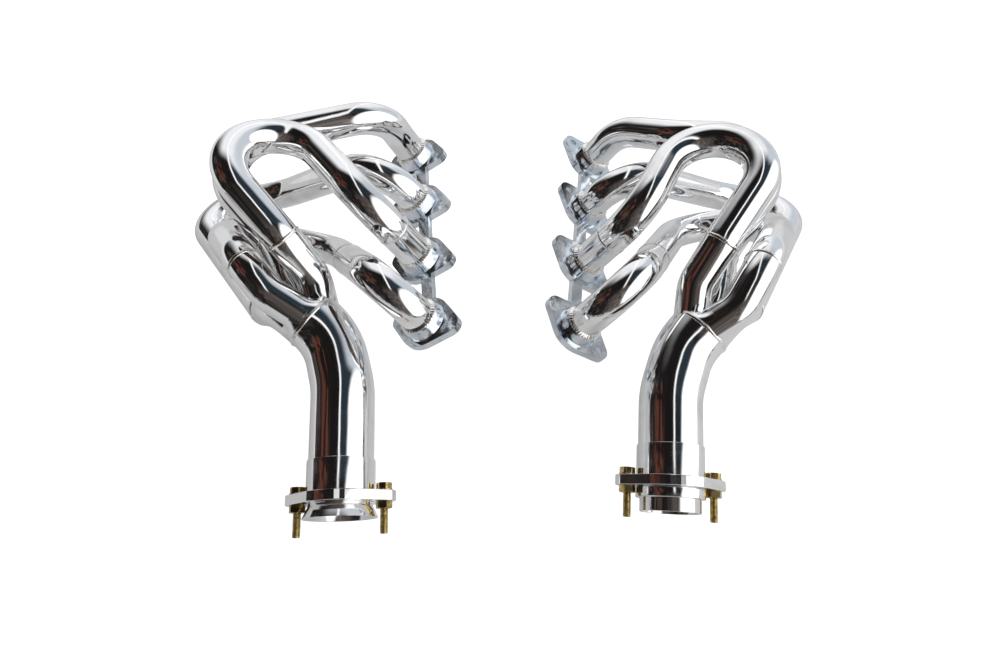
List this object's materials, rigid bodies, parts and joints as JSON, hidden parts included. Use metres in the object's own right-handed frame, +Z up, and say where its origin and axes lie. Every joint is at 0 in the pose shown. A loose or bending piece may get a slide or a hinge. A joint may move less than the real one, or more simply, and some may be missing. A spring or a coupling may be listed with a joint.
{
  "type": "racing exhaust system",
  "caption": "Pair of four-into-one racing exhaust headers with polished primary tubes, merge collectors and loose two-bolt outlet flanges.",
  "frame": {"origin": "on the floor, under the middle of the pair's overall box", "axes": "+Z up, +X to the right across the pair, +Y from the outlets towards the head flanges' far ends"},
  "size_m": [0.9408, 0.6339, 0.2696],
  "materials": {
    "polished_tube": "mirror polished",
    "loose_flange": "polished",
    "cast_flange": "bright satin",
    "weld": "polished weld",
    "zinc_bolt": "yellow zinc plate"
  },
  "bodies": {
    "headers": {"left_head_flange": "cast_flange", "left_port_weld_beads": "weld", "left_primary_tube_1": "polished_tube", "left_primary_tube_2": "polished_tube", "left_primary_tube_3": "polished_tube", "left_primary_tube_4": "polished_tube", "left_tube_seam_beads": "weld", "left_collector_weld_beads": "weld", "left_collector_leg_1": "polished_tube", "left_collector_leg_2": "polished_tube", "left_collector_leg_3": "polished_tube", "left_collector_leg_4": "polished_tube", "left_collector_neck": "polished_tube", "left_exit_weld_bead": "weld", "left_outlet_pipe": "polished_tube", "left_outlet_sleeve": "polished_tube", "left_flared_end": "polished_tube", "right_head_flange": "cast_flange", "right_port_weld_beads": "weld", "right_primary_tube_1": "polished_tube", "right_primary_tube_2": "polished_tube", "right_primary_tube_3": "polished_tube", "right_primary_tube_4": "polished_tube", "right_tube_seam_beads": "weld", "right_collector_weld_beads": "weld", "right_collector_leg_1": "polished_tube", "right_collector_leg_2": "polished_tube", "right_collector_leg_3": "polished_tube", "right_collector_leg_4": "polished_tube", "right_collector_neck": "polished_tube", "right_exit_weld_bead": "weld", "right_outlet_pipe": "polished_tube", "right_outlet_sleeve": "polished_tube", "right_pilot_end": "polished_tube"},
    "left_loose_joint": {"left_loose_flange": "loose_flange", "left_outlet_bolts": "zinc_bolt", "left_outlet_washers": "zinc_bolt", "left_outlet_nuts": "zinc_bolt"},
    "right_loose_joint": {"right_loose_flange": "loose_flange", "right_outlet_bolts": "zinc_bolt", "right_outlet_washers": "zinc_bolt", "right_outlet_nuts": "zinc_bolt"}
  },
  "joints": [
    {"name": "left_flange_turn", "type": "hinge", "parent": "headers", "child": "left_loose_joint", "pos_m": [-0.1802, -0.2746, 0.049], "axis": [0.0455, -0.9469, -0.3182], "continuous": true},
    {"name": "right_flange_turn", "type": "hinge", "parent": "headers", "child": "right_loose_joint", "pos_m": [0.2038, -0.2546, 0.047], "axis": [-0.0659, -0.9316, -0.3576], "continuous": true}
  ]
}
